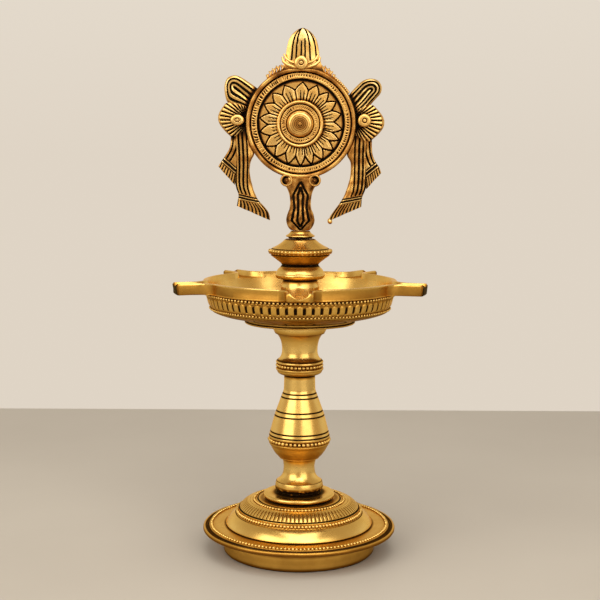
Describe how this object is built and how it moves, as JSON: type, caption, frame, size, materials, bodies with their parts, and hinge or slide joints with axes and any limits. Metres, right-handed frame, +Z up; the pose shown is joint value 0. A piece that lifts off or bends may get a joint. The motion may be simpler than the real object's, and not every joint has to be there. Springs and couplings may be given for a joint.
{
  "type": "brass diya",
  "caption": "Standing brass oil lamp: round stepped base, baluster stem, open bowl with wick spouts and a wheel finial with flames and ribbons.",
  "frame": {"origin": "lamp axis on the table plane, in the middle of the foot ring", "axes": "+Z up along the lamp axis; the face of the wheel and the front spout look toward -Y; +X to the viewer's right"},
  "size_m": [0.1208, 0.1149, 0.254],
  "materials": {
    "polished_brass": "turned and hand polished, with dark patina in the grooves",
    "antique_brass": "cast and rubbed antique finish, near black in the recesses",
    "steel_stud": "plain threaded rod",
    "seal_rubber": "matt black washer"
  },
  "bodies": {
    "base": {"base_dish": "polished_brass", "base_dome": "polished_brass", "base_collar": "polished_brass"},
    "stem_screw": {"stem_stud": "steel_stud"},
    "stem": {"stem_baluster": "polished_brass", "stem_capital": "polished_brass", "bowl_stud": "steel_stud"},
    "bowl_set": {"bowl": "polished_brass", "bowl_saucer": "polished_brass", "bowl_seal": "seal_rubber"},
    "hub_screw": {"hub_sleeve": "polished_brass"},
    "hub": {"hub_bulge": "polished_brass", "hub_disc": "polished_brass"},
    "finial_screw": {"finial_stud": "steel_stud", "finial_collar": "polished_brass"},
    "finial": {"finial_stem": "antique_brass", "chakra_wheel": "antique_brass", "chakra_boss": "antique_brass", "crest_flame": "antique_brass", "crest_stud": "antique_brass", "left_shell": "antique_brass", "left_stud": "antique_brass", "left_flame": "antique_brass", "left_ribbon": "antique_brass", "right_shell": "antique_brass", "right_stud": "antique_brass", "right_flame": "antique_brass", "right_ribbon": "antique_brass"}
  },
  "joints": [
    {"name": "stem_lift", "type": "slide", "parent": "base", "child": "stem_screw", "axis": [0, 0, 1], "range_m": [0, 0.0075]},
    {"name": "stem_turn", "type": "hinge", "parent": "stem_screw", "child": "stem", "pos_m": [0, 0, 0], "axis": [0, 0, 1], "range_deg": [0, 2160]},
    {"name": "bowl_turn", "type": "hinge", "parent": "stem", "child": "bowl_set", "pos_m": [0, 0, 0], "axis": [0, 0, 1], "continuous": true},
    {"name": "hub_lift", "type": "slide", "parent": "stem", "child": "hub_screw", "axis": [0, 0, 1], "range_m": [0, 0.0075]},
    {"name": "hub_turn", "type": "hinge", "parent": "hub_screw", "child": "hub", "pos_m": [0, 0, 0], "axis": [0, 0, 1], "range_deg": [0, 2160]},
    {"name": "finial_lift", "type": "slide", "parent": "hub", "child": "finial_screw", "axis": [0, 0, 1], "range_m": [0, 0.0048]},
    {"name": "finial_turn", "type": "hinge", "parent": "finial_screw", "child": "finial", "pos_m": [0, 0, 0], "axis": [0, 0, 1], "range_deg": [0, 2160]}
  ],
  "couplings": [
    {"joint": "stem_turn", "follows": "stem_lift", "rad_per_m": 5026.5},
    {"joint": "hub_turn", "follows": "hub_lift", "rad_per_m": 5026.5},
    {"joint": "finial_turn", "follows": "finial_lift", "rad_per_m": 7854}
  ]
}
